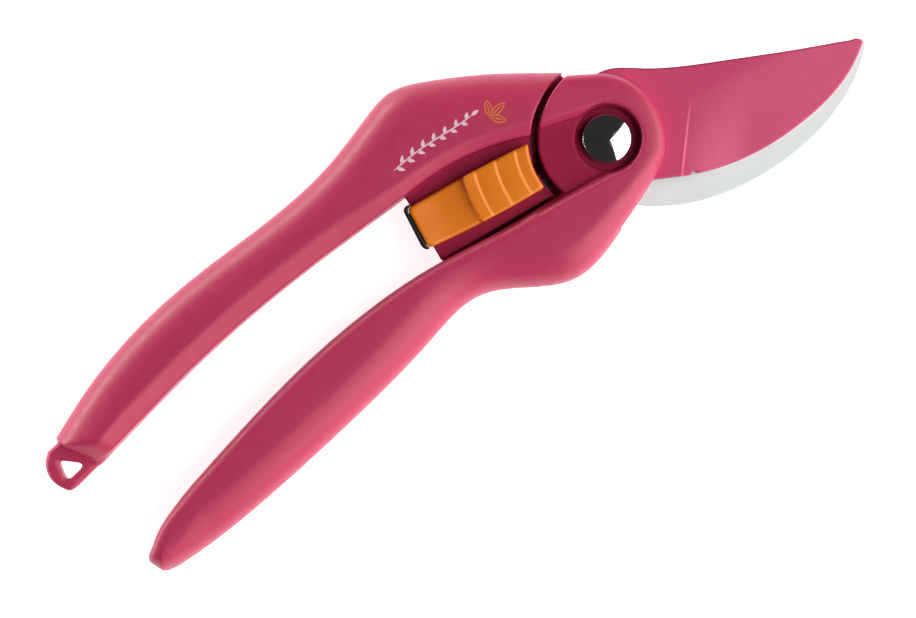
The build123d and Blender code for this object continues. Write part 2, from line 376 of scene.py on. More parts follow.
def settle(field, points, most, rounds=3, flattest=0.2):
    """Moves points onto the zero surface, and returns them with the outward normals."""
    for _ in range(rounds):
        plan = field.plan(points[:, :2])
        here = field.value(plan, points[:, 2])
        slope = gradient(field, points, plan, here)
        size = np.maximum(np.linalg.norm(slope, axis=1, keepdims=True), flattest)
        normals = slope / size
        shift = -here[:, None] * normals / size
        reach = np.linalg.norm(shift, axis=1, keepdims=True)
        points = points + shift * np.minimum(1, most / np.maximum(reach, 1e-9))
    return points, normals


def new_object(name, verts, faces, shaded=True):
    """A mesh object from points in mm, with smooth or flat shading."""
    mesh = bpy.data.meshes.new(name)
    mesh.from_pydata((np.asarray(verts, float) * MM).tolist(), [], [list(map(int, f)) for f in faces])
    mesh.validate()
    mesh.polygons.foreach_set("use_smooth", [shaded] * len(mesh.polygons))
    mesh.update()
    piece = bpy.data.objects.new(name, mesh)
    bpy.context.scene.collection.objects.link(piece)
    return piece


def moulded(name, field, node, cell=CELL):
    """Meshes a field inside the box of the CAD node that it stands for."""
    low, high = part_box(node)
    margin = 1.5 * cell
    # The grid is set off by a third of a cell, so that flat faces don't fall on its points.
    low = np.array(low) / MM - margin - cell / 3
    high = np.array(high) / MM + margin
    verts, quads = surface(field, low, high, cell)
    verts, normals = settle(field, verts, cell * 0.6)
    piece = new_object(name, verts, quads)
    if len(piece.data.vertices) == len(normals):
        size = np.linalg.norm(normals, axis=1, keepdims=True)
        unit = normals / np.maximum(size, 1e-9)
        piece.data.normals_split_custom_set_from_vertices(unit.tolist())
    return piece


# ---- upper handle --------------------------------------------------------------------------------
class UpperHandle:
    """Handle with the hang hole, the web under the thumb slide and the back lug."""

    ROUND_WIDTH = 9.5
    BEVEL_X = [-136, -120, -60, -40]
    BEVEL_WIDTH = [2.4, 3.8, 3.9, 2.4]
    DROP_X, DROP = [-60, -40], [2.6, 1.9]                 # fall of the bevel across its width
    GAP_ANGLES, GAP_EXTRA = [94, 122], [0.6, 0]           # the gap widens towards the outer edge
    GRIP_END, GRIP_END_WAY = (-138, -1.1), (-4.5, -7.0)   # slanting line between grip and tab
    GRIP_END_LEAN = 0.8
    HEAD_END_X = 1
    TAIL_X = -126                                         # beyond it the grip keeps to the tab's rim
    TAB_X, TAB_HALF = -124, 2.5
    TAB_SINK_FROM, TAB_SINK = [-5, -2], [1.5, 0]          # the tab is narrower inside the grip
    HANG_HOLE = [(-138.3, -0.6), (-138.9, -5.8), (-133.2, -4.5)]
    WEB = [(-44.2, -4.8), (-10, -4.8), (-10, 13.5), (-44.2, 13.5)]
    TRACK_X, TRACK_Y, TRACK_Z = (-42.2, 0), (-3.55, 5.15), (7.6, 10.1)
    NECK_Y, NECK_BACK = (0.85, 4.15), 9.5                 # slot for the neck of the slider
    COLLAR_INNER, COLLAR_OUTER = 15.4, 17.0
    COLLAR_MIDDLE, COLLAR_SPREAD = 131.5, 36.5
    LUG_RADIUS = 14.6
    LUG_BRIDGE = [(-1.9, 17.6), (-26, 15), (-26, -3.0), (-16.9, -3.0), (-2, -2), (1.5, 14.4)]
    LUG_TOE = [(-16.9, -3.0), (-16.2, -5.6), (-12, -5.6), (-8, 0), (-16.9, 0)]
    NUT_RADIUS, NUT_DEPTH = 4.9, 3.4

    def __init__(self):
        loop = outline("upper_handle", FRONT - 4)
        tail = outline("upper_handle", MIDDLE)
        self.outer = Edge(loop, (-1.9, 18), (-137.5, 1.5))
        self.inner = Edge(loop, (-131, -5.8), (-14, 8.9))
        self.tail = Edge(tail, (-122, 10.7), (-122, -3.5), 5.0)

    def plan(self, points):
        x, y = points.T
        return {
            "x": x,
            "y": y,
            "r": np.hypot(x, y),
            "angle": np.degrees(np.arctan2(y, x)) % 360,
            "outer": self.outer.inside(points),
            "inner": self.inner.inside(points),
            "tail": self.tail.inside(points),
            "beyond": past_line(x, y, self.GRIP_END, self.GRIP_END_WAY),
            "hole": prism(x, y, self.HANG_HOLE, 1.6),
            "track": oblong(x, y, self.TRACK_X, self.TRACK_Y),
            "neck": oblong(x, y, self.TRACK_X, self.NECK_Y),
        }

    def grip(self, plan, rise):
        """Grip and head: full round outside, crisp bevel inside."""
        x, inner = plan["x"], plan["inner"]
        bevel = np.interp(x, self.BEVEL_X, self.BEVEL_WIDTH)
        drop = np.interp(x, self.DROP_X, self.DROP)
        grip = crowned(plan["outer"], rise, self.ROUND_WIDTH)
        grip = both(grip, -inner, 0.6)
        grip = both(grip, bevelled(inner, rise, bevel, drop), 0.5)
        gap = HEAD_GAP_RADIUS + np.interp(plan["angle"], self.GAP_ANGLES, self.GAP_EXTRA)
        grip = both(grip, gap - plan["r"], 0.4)
        end = plan["beyond"] + self.GRIP_END_LEAN * (rise - self.TAB_HALF)
        grip = np.maximum(both(grip, end, 1.5), x - self.HEAD_END_X)
        return np.where(x < self.TAIL_X, np.maximum(grip, -plan["tail"]), grip)

    def tab(self, plan, rise):
        """Thin tab round the hang hole."""
        sunk = np.interp(plan["beyond"], self.TAB_SINK_FROM, self.TAB_SINK)
        tab = both(sunk - plan["tail"], rise - self.TAB_HALF, 1.6)
        tab = both(tab, plan["x"] - self.TAB_X, 0.2)
        return without(tab, plan["hole"], 0.8)

    def web(self, plan, z, track):
        """Plate under the thumb slide, with the track of its carrier."""
        web = prism(plan["x"], plan["y"], self.WEB)
        web = both(web, between(z, WEB_BACK, WEB_FRONT), 0.5)
        web = both(web, HEAD_GAP_RADIUS - plan["r"], 0.3)
        web = without(web, track, 0.2)
        return without(web, np.maximum(plan["neck"], between(z, self.NECK_BACK, FRONT)), 0.2)

    def collar(self, plan, z, track):
        """Shelf under the gap round the front lug."""
        r = plan["r"]
        ring = between(r, self.COLLAR_INNER, self.COLLAR_OUTER)
        collar = np.maximum(ring, between(z, WEB_BACK, BLADE_FRONT - 1))
        ends = beside_sector(r, plan["angle"], self.COLLAR_MIDDLE, self.COLLAR_SPREAD)
        return np.maximum(np.maximum(collar, ends), -track)

    def back_lug(self, plan, z):
        """Lug behind the hook, with the pocket of the nut."""
        x, y, r = plan["x"], plan["y"], plan["r"]
        bridge = np.minimum(prism(x, y, self.LUG_BRIDGE), prism(x, y, self.LUG_TOE))
        lug = either(r - self.LUG_RADIUS, bridge, 2.0)
        lug = rounded_edge(-lug, z - BACK, 0.9)
        lug = both(lug, z - HOOK_BACK, 0.2)
        return without(lug, np.maximum(r - self.NUT_RADIUS, z - self.NUT_DEPTH), 0.5)

    def value(self, plan, z):
        rise = np.abs(z - MIDDLE)
        track = np.maximum(plan["track"], between(z, *self.TRACK_Z))
        field = either(self.grip(plan, rise), self.tab(plan, rise), 1.0)
        field = either(field, self.web(plan, z, track), 0.5)
        field = np.minimum(field, self.collar(plan, z, track))
        return either(field, self.back_lug(plan, z), 0.4)


# ---- lower handle --------------------------------------------------------------------------------
class LowerHandle:
    """Handle whose front lug covers the cutting blade and holds the bolt's pocket."""

    ROUND_X = [-134, -116, -24, 4]                        # the round edge is narrow at both ends
    ROUND_WIDTH = [6.0, 9.5, 9.5, 4.0]
    BLEND_X, BLEND = [-130, -118], [2.0, 0.3]             # soft tip, crisp line along the grip
    RIM_FALL, RIM_WIDTH = 0.9, 5.5
    FLAT = [(-20, 10.8), (-20, -5.6), (0.8, -6.2), (1.4, 6.1), (-8, 8.3)]
    FLAT_LEAN = 0.6
    NECK_RADIUS, NECK_MIDDLE, NECK_SPREAD = 19.6, 267, 33
    ROOM_X, ROOM_Y = -16.4, -7                            # room beside the back lug's bridge
    LEDGE_X, LEDGE_Y, LEDGE_FRONT = (-44, -15), (-9, -3.4), 2.2
    TOOTH_RADII, TOOTH_MIDDLE, TOOTH_SPREAD, TOOTH_BACK = (12.9, 15.0), 175.5, 3, 7.8

    def __init__(self):
        loop = outline("lower_handle", 11.2)
        self.outer = Edge(loop, (-131.9, -31.8), (5, -12.6))
        self.rim = Edge(loop, (5, -12.6), (-0.8, 16.2))
        self.arc = Edge(loop, (-0.8, 16.2), (-14.1, -5.4))
        self.inner = Edge(loop, (-14.1, -5.4), (-131.9, -31.8))

    def plan(self, points):
        x, y = points.T
        return {
            "x": x,
            "y": y,
            "r": np.hypot(x, y),
            "angle": np.degrees(np.arctan2(y, x)) % 360,
            "outer": self.outer.inside(points),
            "inner": self.inner.inside(points),
            "rim": self.rim.inside(points),
            "arc": self.arc.inside(points),
        }

    def shell(self, plan, z):
        """Grip and front lug as one solid, with rounded edges."""
        rise = np.abs(z - MIDDLE)
        width = np.interp(plan["x"], self.ROUND_X, self.ROUND_WIDTH)
        blend = np.interp(plan["x"], self.BLEND_X, self.BLEND)
        grip = rounded_edge(plan["inner"], HALF - rise, 3.0)
        lug = rounded_edge(plan["arc"], FRONT - z, 0.7)
        shell = either(grip, lug, 0.4)
        shell = both(shell, crowned(plan["outer"], rise, width), blend)
        fall = self.RIM_FALL * np.clip(1 - plan["rim"] / self.RIM_WIDTH, 0, 1) ** 2
        return both(shell, rounded_edge(plan["rim"], FRONT - fall - z, 1.8), 0.3)

    def sunk_flat(self, plan, z):
        """The flat beside the thumb slide, with sloping sides."""
        flat = prism(plan["x"], plan["y"], self.FLAT, 1.0)
        return np.maximum(LUG_RECESS - z, flat + (LUG_RECESS - z) * self.FLAT_LEAN)

    def pocket(self, plan, z):
        """Round pocket of the bolt's head, wider at its mouth."""
        mouth = np.interp(z, [WASHER_BACK, FRONT], [POCKET_LOW, POCKET_HIGH])
        return np.maximum(WASHER_BACK - z, plan["r"] - mouth)

    def room(self, plan, z):
        """Room for the blade's disc, the back lug and the neck of the hook."""
        x, y, r = plan["x"], plan["y"], plan["r"]
        ends = beside_sector(r, plan["angle"], self.NECK_MIDDLE, self.NECK_SPREAD)
        neck = np.maximum(r - self.NECK_RADIUS, ends)
        inner = np.maximum(self.ROOM_X - x, self.ROOM_Y - y)
        room = np.minimum(np.minimum(r - BACK_GAP_RADIUS, neck), inner)
        return np.maximum(room, z - BLADE_FRONT)

    def ledge(self, plan, z):
        """Ledge behind the web of the other handle."""
        ledge = oblong(plan["x"], plan["y"], self.LEDGE_X, self.LEDGE_Y)
        ledge = np.maximum(ledge, BACK_GAP_RADIUS + 0.1 - plan["r"])
        return np.maximum(ledge, between(z, BACK, self.LEDGE_FRONT))

    def tooth(self, plan, z):
        """Locking tooth under the rim."""
        ends = beside_sector(plan["r"], plan["angle"], self.TOOTH_MIDDLE, self.TOOTH_SPREAD)
        tooth = np.maximum(ends, between(plan["r"], *self.TOOTH_RADII))
        return np.maximum(tooth, between(z, self.TOOTH_BACK, BLADE_FRONT + 1))

    def value(self, plan, z):
        field = without(self.shell(plan, z), self.sunk_flat(plan, z), 0.7)
        field = without(field, self.pocket(plan, z), 0.7)
        field = without(field, self.room(plan, z), 0.5)
        field = either(field, self.ledge(plan, z), 0.3)
        return np.minimum(field, self.tooth(plan, z))


# ---- thumb slide ---------------------------------------------------------------------------------
class ThumbSlide:
    """Three ridges about the pivot, a dished end, rounded edges and a hollow underside."""

    # Radius and height of the corners of the ridges.
    RIDGES = [(17.0, 15.15), (20.0, 15.0), (20.4, 15.4), (24.7, 15.1), (25.1, 15.5),
              (29.5, 15.2), (29.9, 15.6), (32.2, 15.5), (32.8, 14.1), (38.5, 13.8)]
    RIDGE_SOFTENING = 0.12
    CORNERS = [(-45.3, -1.3), (-30, -2.6), (-14, -2.4), (-14, 7.6), (-30, 8.7), (-45.1, 8.5)]
    CORNER_ROUND = 1.2
    DISH_FROM, DISH_TOP, DISH_DEPTH = 33.4, 14.1, 0.3
    DISH_START, DISH_RATE = 33.0, 0.2                     # where the dish's wave starts, per mm
    LIFT_FROM, LIFT_LENGTH, LIFT = 38, 8, 0.5             # rise towards the outer end
    HOLLOW_X, HOLLOW_Y, HOLLOW_TOP = (-44.2, -20.5), (-0.4, 7.4), 13.1
    NOSE_X, NOSE_FLOOR, FLOOR = -19.5, 12.8, 11.8         # the underside is higher at the inner end

    def top(self, r):
        """Height of the top: ridges near the pivot, then a shallow dish that rises to the end."""
        radii, tops = zip(*self.RIDGES)
        shifts = (-self.RIDGE_SOFTENING, 0, self.RIDGE_SOFTENING)
        ridges = sum(np.interp(r + shift, radii, tops) for shift in shifts) / 3
        dish = self.DISH_TOP - self.DISH_DEPTH * np.sin((r - self.DISH_START) * self.DISH_RATE)
        dish = dish + smooth((r - self.LIFT_FROM) / self.LIFT_LENGTH) * self.LIFT
        return np.where(r < self.DISH_FROM, ridges, dish)

    def plan(self, points):
        x, y = points.T
        r = np.hypot(x, y)
        rim = prism(x, y, self.CORNERS, self.CORNER_ROUND)
        return {
            "x": x,
            "top": self.top(r),
            "rim": both(rim, HEAD_GAP_RADIUS + 0.6 - r, 0.8),
            "hollow": oblong(x, y, self.HOLLOW_X, self.HOLLOW_Y),
        }

    def value(self, plan, z):
        field = both(plan["rim"], z - plan["top"], 0.9)
        floor = np.where(plan["x"] > self.NOSE_X, self.NOSE_FLOOR, self.FLOOR)
        field = both(field, floor - z, 0.3)
        return without(field, np.maximum(plan["hollow"], z - self.HOLLOW_TOP), 0.2)


class SliderEnd:
    """Black carrier of the thumb slide: its outer end, and the rail, neck, foot and nose inside."""

    END = [(-46.5, -1.0), (-44.8, -1.8), (-43.6, 9.1), (-46.0, 9.1)]
    END_TOP, RAIL_TOP = 14.0, 13.0
    RAIL_X, RAIL_Y = (-45.6, -20.8), (-0.2, 7.2)
    NECK_X, NECK_Y, NECK_BACK = (-38.5, -20.8), (1.0, 4.0), 9.0
    FOOT_X, FOOT_Y, FOOT_Z = (-40.5, -18.0), (-3.4, 5.0), (8.1, 9.9)
    NOSE_X, NOSE_Y = (-20.0, -15.6), (-3.4, -0.4)
    PLAY = 0.08                                           # between the end and the thumb slide

    def plan(self, points):
        x, y = points.T
        slide = prism(x, y, ThumbSlide.CORNERS, ThumbSlide.CORNER_ROUND)
        foot = oblong(x, y, self.FOOT_X, self.FOOT_Y)
        return {
            "end": both(prism(x, y, self.END, 1.3), self.PLAY - slide, 0.1),
            "rail": oblong(x, y, self.RAIL_X, self.RAIL_Y),
            "neck": oblong(x, y, self.NECK_X, self.NECK_Y),
            "foot": np.minimum(foot, oblong(x, y, self.NOSE_X, self.NOSE_Y)),
        }

    def value(self, plan, z):
        seat = WEB_FRONT + 0.2
        end = both(plan["end"], between(z, seat, self.END_TOP), 0.4)
        rail = np.maximum(plan["rail"], between(z, seat, self.RAIL_TOP))
        neck = np.maximum(plan["neck"], between(z, self.NECK_BACK, WEB_FRONT + 0.5))
        foot = np.maximum(plan["foot"], between(z, *self.FOOT_Z))
        return np.minimum(np.minimum(end, rail), np.minimum(neck, foot))


# ---- blades --------------------------------------------------------------------------------------
class CuttingBlade:
    """Plate that is ground down towards the cutting edge, beyond a slanting heel line."""

    FALL = 0.12                                           # of the ground face, in mm per mm
    RIDGE_AT, RIDGE_SLOPE, RIDGE_EASE = (20, -1.4), 0.05, 1.5
    HEEL_AT, HEEL_WAY = (10, -15), (13.6, -10)
    HEEL_WIDTH, HEEL_DEPTH, EASE_LENGTH = 0.5, 0.3, 14    # first step, then the rest eases in
    NICK_AT, NICK_RADIUS = (12.9, -16.3), 0.75
    BORE_RADIUS = 4.0

    def __init__(self):
        self.outline = Loop(outline("cutting_blade", BLADE_BACK + 0.3))

    def plan(self, points):
        x, y = points.T
        below = self.RIDGE_AT[1] - y - self.RIDGE_SLOPE * (x - self.RIDGE_AT[0])
        heel = past_line(x, y, self.HEEL_AT, self.HEEL_WAY)
        eased = self.HEEL_DEPTH + (1 - self.HEEL_DEPTH) * smooth(heel / self.EASE_LENGTH)
        ground = smooth(heel / self.HEEL_WIDTH) * eased * risen(below, self.RIDGE_EASE)
        nick = np.hypot(x - self.NICK_AT[0], y - self.NICK_AT[1]) - self.NICK_RADIUS
        return {
            "rim": both(-self.outline.inside(points), -nick, 0.3),
            "r": np.hypot(x, y),
            "top": BLADE_FRONT - self.FALL * ground,
        }

    def value(self, plan, z):
        field = both(plan["rim"], z - plan["top"], 0.45)
        field = both(field, BLADE_BACK - z, 0.2)
        return without(field, plan["r"] - self.BORE_RADIUS, 0.2)


class CounterBlade:
    """Thick hook with softly broken edges, sunk for the friction washer."""

    BORE_RADIUS = 3.05
    WASHER_RADIUS, WASHER_DEPTH = 6.6, 0.55

    def __init__(self):
        self.outline = Loop(outline("counter_blade", (HOOK_BACK + HOOK_FRONT) / 2))

    def plan(self, points):
        return {"rim": -self.outline.inside(points), "r": np.hypot(*points.T)}

    def value(self, plan, z):
        field = both(plan["rim"], between(z, HOOK_BACK, HOOK_FRONT), 0.45)
        field = without(field, plan["r"] - self.BORE_RADIUS, 0.2)
        seat = np.maximum(plan["r"] - self.WASHER_RADIUS, HOOK_FRONT - self.WASHER_DEPTH - z)
        return without(field, seat, 0.2)


# ---- pivot bolt ----------------------------------------------------------------------------------
def arc(height, radius, start, end, steps, out=0.0):
    """Points of (radius, height) on an arc, with angles in degrees from the upright."""
    turns = np.radians(np.linspace(start, end, steps))
    return [(out + radius * math.sin(t), height + radius * math.cos(t)) for t in turns]


def lathe(name, profile, steps=160):
    """Turns a profile of (radius, height) points about the pivot; its ends are on the axis."""
    verts = [(0, 0, profile[0][1])]
    for radius, height in profile[1:-1]:
        for k in range(steps):
            angle = 2 * math.pi * k / steps
            verts.append((radius * math.cos(angle), radius * math.sin(angle), height))
    verts.append((0, 0, profile[-1][1]))
    rings = len(profile) - 2
    faces = []
    for k in range(steps):
        after = (k + 1) % steps
        faces.append((0, 1 + k, 1 + after))
        for ring in range(rings - 1):
            a, b = 1 + ring * steps, 1 + (ring + 1) * steps
            faces.append((a + k, b + k, b + after, a + after))
        last = 1 + (rings - 1) * steps
        faces.append((last + k, len(verts) - 1, last + after))
    return new_object(name, verts, faces)


def bolt_profile():
    """Low dome with a rolled edge, a plain shank and a threaded end."""
    radius, rise, roll = 5.3, 1.6, 0.2
    shank, thread, thread_depth, pitch, thread_points = 3.0, 2.5, 0.25, 0.4, 13
    shank_end, thread_start, bottom, chamfer = 3.4, 3.2, 0.4, 0.4
    ball = (radius ** 2 + rise ** 2) / (2 * rise)
    centre = FRONT - ball
    edge = math.degrees(math.asin((radius - roll) / (ball - roll)))
    roll_height = centre + (ball - roll) * math.cos(math.radians(edge))
    dome = arc(centre, ball, 0, edge, 40)
    rolled = arc(roll_height, roll, edge, 90, 10, radius - roll)[1:]
    under = [(radius, HEAD_SEAT + roll), (radius - roll, HEAD_SEAT)]
    plain = [(shank, HEAD_SEAT), (shank, shank_end), (thread, shank_end)]
    threads = [(thread - (thread_depth if k % 2 else 0), thread_start - pitch / 2 * k)
               for k in range(thread_points)]
    return dome + rolled + under + plain + threads + [(thread - chamfer, bottom), (0, bottom)]


# ---- print on the upper handle -------------------------------------------------------------------
def axes(heading):
    """Unit vectors along a heading and across it."""
    along = np.array([math.cos(heading), math.sin(heading)])
    return along, np.array([-along[1], along[0]])


class Ink:
    """Thin raised print that follows the face under it."""

    THICK = 0.03

    def __init__(self, piece):
        self.tree = BVHTree.FromObject(piece, bpy.context.evaluated_depsgraph_get())
        self.verts, self.faces = [], []

    def height(self, x, y):
        """Height of the face under a place."""
        above = Vector((x * MM, y * MM, 0.1))
        hit = self.tree.ray_cast(above, Vector((0, 0, -1)))[0]
        return hit.z / MM

    def add(self, left, right):
        """A closed strip between two lists of points."""
        first = len(self.verts)
        count = len(left)
        under = 2 * count
        for lift in (self.THICK, -self.THICK):
            for x, y in left + right:
                self.verts.append((x, y, self.height(x, y) + lift))
        for k in range(count - 1):
            a, b = first + k, first + count + k
            self.faces.append((a, a + 1, b + 1, b))
            self.faces.append((a + under, b + under, b + 1 + under, a + 1 + under))
            self.faces.append((a, a + under, a + 1 + under, a + 1))
            self.faces.append((b, b + 1, b + 1 + under, b + under))
        for k, turn in ((0, -1), (count - 1, 1)):
            a, b = first + k, first + count + k
            self.faces.append((a, b, b + under, a + under)[::turn])

    def stroke(self, points, width, slim=0.12, fullness=2.5):
        """A line of a given width with slim ends."""
        points = np.array(points, float)
        ahead = np.gradient(points, axis=0)
        ahead /= np.linalg.norm(ahead, axis=1)[:, None]
        across = np.stack([-ahead[:, 1], ahead[:, 0]], 1)
        swell = np.sin(np.linspace(slim, math.pi - slim, len(points)))
        wide = width / 2 * np.clip(swell * fullness, 0, 1)
        self.add([tuple(p) for p in points + across * wide[:, None]],
                 [tuple(p) for p in points - across * wide[:, None]])

    def leaf(self, at, heading, length, width, slimmest=0.015):
        """A filled almond shape that starts at a point."""
        along, across = axes(heading)
        left, right = [], []
        for t in np.linspace(0, 1, 9):
            swell = math.sin(math.pi * min(1, max(0.02, t ** 0.85)) * 0.99)
            half = width / 2 * swell + slimmest
            middle = np.array(at) + along * length * t
            left.append(tuple(middle + across * half))
            right.append(tuple(middle - across * half))
        self.add(left, right)

    def outlined_leaf(self, at, heading, length, width, line):
        """An almond drawn with a thin line, with its midrib."""
        along, across = axes(heading)
        at = np.array(at)
        for side in (1, -1):
            bulge = across * side * width / 2
            self.stroke([at + along * length * t + bulge * math.sin(math.pi * t)
                         for t in np.linspace(0, 1, 13)], line)
        self.stroke([at + along * length * t for t in np.linspace(0.15, 0.8, 5)], line)

    def finish(self, name):
        return new_object(name, self.verts, self.faces, False)


def pale_sprig(surface_piece):
    """A stem with small leaves in turn on either side, and one at its end."""
    ink = Ink(surface_piece)
    start, reach, leaves, leaf_width = (-43.5, 16.9), (20.5, 2.3), 14, 0.8

    def stem(t):
        return start[0] + reach[0] * t, start[1] + reach[1] * t + 0.35 * math.sin(5.0 * t)

    ink.stroke([stem(t) for t in np.linspace(0, 1, 40)], 0.34)
    for k in range(leaves):
        at = stem((k + 0.6) / (leaves + 0.6))
        side = 1 if k % 2 else -1
        ink.leaf(at, 0.12 + side * 0.85, 1.95 - 0.03 * k, leaf_width)
    ink.leaf(stem(1.0), 0.15, 1.9, leaf_width)
    return ink.finish("print_sprig")


def orange_leaves(surface_piece):
    """Three outlined leaves that spread from one point."""
    ink = Ink(surface_piece)
    for turn, length in ((-0.75, 3.6), (0.25, 4.4), (1.25, 3.6)):
        ink.outlined_leaf((-19.7, 16.6), turn, length, width=1.5, line=0.3)
    return ink.finish("print_leaves")


# ---- materials -----------------------------------------------------------------------------------
def colour(text):
    """Linear colour from a web colour."""
    parts = [int(text[i:i + 2], 16) / 255 for i in (0, 2, 4)]
    return tuple(p / 12.92 if p <= 0.04045 else ((p + 0.055) / 1.055) ** 2.4 for p in parts) + (1,)


class Material:
    """Small builder round one Principled shader."""

    def __init__(self, name):
        self.material = bpy.data.materials.new(name)
        self.material.use_nodes = True
        self.nodes = self.material.node_tree.nodes
        self.links = self.material.node_tree.links
        self.shader = self.nodes["Principled BSDF"]
        self.place = self.nodes.new("ShaderNodeTexCoord").outputs["Object"]

    def set(self, **values):
        """Constants of the shader, with _ for the spaces in a socket's name."""
        for name, value in values.items():
            self.shader.inputs[name.replace("_", " ")].default_value = value
        return self

    def mapped(self, scale=(1, 1, 1), turn=(0, 0, 0)):
        """Object coordinates that are stretched and turned."""
        mapping = self.nodes.new("ShaderNodeMapping")
        mapping.inputs["Scale"].default_value = scale
        mapping.inputs["Rotation"].default_value = turn
        self.links.new(self.place, mapping.inputs["Vector"])
        return mapping.outputs["Vector"]

    def noise(self, scale, detail=3, vector=None):
        node = self.nodes.new("ShaderNodeTexNoise")
        node.inputs["Scale"].default_value = scale
        node.inputs["Detail"].default_value = detail
        self.links.new(vector or self.place, node.inputs["Vector"])
        return node.outputs["Fac"]

    def ramp(self, value, *stops):
        """Colour or grey ramp from (position, colour) stops."""
        node = self.nodes.new("ShaderNodeValToRGB")
        ramp = node.color_ramp
        for element, (position, shade) in zip(ramp.elements, stops):
            element.position = position
            element.color = shade if isinstance(shade, tuple) else (shade, shade, shade, 1)
        self.links.new(value, node.inputs["Fac"])
        return node.outputs["Color"]

    def join(self, output, socket):
        self.links.new(output, self.shader.inputs[socket])
        return self

    def bump(self, *layers):
        """Bumps, each (height output, depth in mm, strength)."""
        normal = None
        for height, depth, strength in layers:
            node = self.nodes.new("ShaderNodeBump")
            node.inputs["Distance"].default_value = depth * MM
            node.inputs["Strength"].default_value = strength
            self.links.new(height, node.inputs["Height"])
            if normal is not None:
                self.links.new(normal, node.inputs["Normal"])
            normal = node.outputs["Normal"]
        self.links.new(normal, self.shader.inputs["Normal"])
        return self


def plastic(name, dark, light, rough, grain):
    """Moulded plastic: fine grain, faint flow marks and a satin sheen."""
    m = Material(name)
    flow = m.noise(38, 4, m.mapped((0.5, 1.6, 1.2)))
    m.join(m.ramp(flow, (0.30, colour(dark)), (0.72, colour(light))), "Base Color")
    m.join(m.ramp(m.noise(420), (0.3, rough[0]), (0.7, rough[1])), "Roughness")
    m.bump((m.noise(grain, 2), 0.03, 0.35), (m.noise(90), 0.10, 0.12))
    return m.set(Specular_IOR_Level=0.35)


def pink_handle():
    return plastic("handle_pink", "b23052", "b93657", (0.34, 0.46), 2600).material


def pink_recess_painted_shade():
    # Darker pink is painted shade for the recesses and the bolt's pocket; the higher roughness and
    # lower specular give a duller surface.
    m = plastic("recess_pink_painted_shade", "951539", "9f1b40", (0.55, 0.7), 1800)
    return m.set(Specular_IOR_Level=0.2).material


def pink_coating():
    return plastic("blade_coating_pink", "c03c63", "c7436a", (0.30, 0.42), 5200).material


def coating_edge_painted_shade():
    # Dark coating colour on the blade's rim is painted shade.
    return plastic("blade_coating_edge", "6e1c34", "7a2340", (0.35, 0.5), 5200).material


def button_orange():
    return plastic("button_orange", "e17616", "e78522", (0.28, 0.4), 3000).material


def black_plastic():
    return plastic("slider_black", "0c0b0b", "151313", (0.4, 0.55), 2400).material


def dark_bush():
    return plastic("bush_dark", "222021", "2c2a2b", (0.45, 0.6), 2000).material


def print_pale():
    return plastic("print_pale_pink", "e3b9c6", "ecc8d2", (0.4, 0.55), 3000).material


def print_orange():
    return plastic("print_orange", "cc6a3c", "d87a44", (0.4, 0.55), 3000).material


def rubber():
    return plastic("bumper_rubber", "121212", "1b1a1a", (0.7, 0.85), 1500).material


def brushed(name, dark, light, rough, turn=0.0, metal=1.0):
    """Ground or brushed steel: fine lines along one way."""
    m = Material(name)
    lines = m.noise(900, 4, m.mapped((0.06, 1.0, 0.3), (0, 0, turn)))
    patches = m.noise(60)
    m.join(m.ramp(patches, (0.3, colour(dark)), (0.7, colour(light))), "Base Color")
    m.join(m.ramp(lines, (0.3, rough[0]), (0.7, rough[1])), "Roughness")
    m.bump((lines, 0.02, 0.4))
    return m.set(Metallic=metal).material


def ground_steel():
    return brushed("hook_steel", "dde3e2", "e8edec", (0.40, 0.55), turn=0.3, metal=0.35)


def dull_steel():
    return brushed("nut_steel", "8d8f90", "a5a7a8", (0.32, 0.45))


def chrome():
    m = Material("bolt_chrome")
    m.join(m.ramp(m.noise(260), (0.35, colour("d9dcdd")), (0.7, colour("eef0f0"))), "Base Color")
    m.join(m.ramp(m.noise(900, 4), (0.3, 0.06), (0.75, 0.12)), "Roughness")
    m.bump((m.noise(500, 2), 0.004, 0.2))
    return m.set(Metallic=1.0).material


def floor_paper():
    m = Material("floor_paper")
    m.join(m.ramp(m.noise(14), (0.3, colour("f4f4f4")), (0.7, colour("f7f7f7"))), "Base Color")
    m.bump((m.noise(900), 0.05, 0.1))
    return m.set(Roughness=0.8, Emission_Color=(1, 1, 1, 1), Emission_Strength=0.85).material


# ---- which faces get which material --------------------------------------------------------------
# Limits of the faces that get the darker pink as painted shade.
WEB_SPAN, WEB_SIDES, WEB_WALLS_FROM = (-44.3, -10), (-4.9, 12.8), 9.9
FLAT_SPAN, FLAT_SIDES = (-16, 0), (-7.2, 9.6)
FACING_BACK = -0.5                         # normals with a lower z belong to the back
# Limits of the blade faces that are painted dark as shade.
NEARLY_UPRIGHT, TOWARDS_SPINE = 0.25, 0.3  # of normals on the cutting blade


def paint(piece, material):
    piece.data.materials.clear()
    piece.data.materials.append(material)


def paint_faces(piece, material, chosen):
    """Gives a second material to the faces that a test on their centre and normal picks."""
    piece.data.materials.append(material)
    for face in piece.data.polygons:
        x, y, z = face.center / MM
        face.material_index = 1 if chosen(x, y, z, face.normal) else 0


def within(value, limits):
    return limits[0] < value < limits[1]


def upper_recess_painted_shade(x, y, z, normal):
    """The front of the web and the feet of the walls beside it, painted in the darker pink as shade.
    """
    beside = within(x, WEB_SPAN) and within(y, WEB_SIDES)
    return beside and within(z, (WEB_WALLS_FROM, WEB_FRONT + 0.6)) and normal.z > FACING_BACK


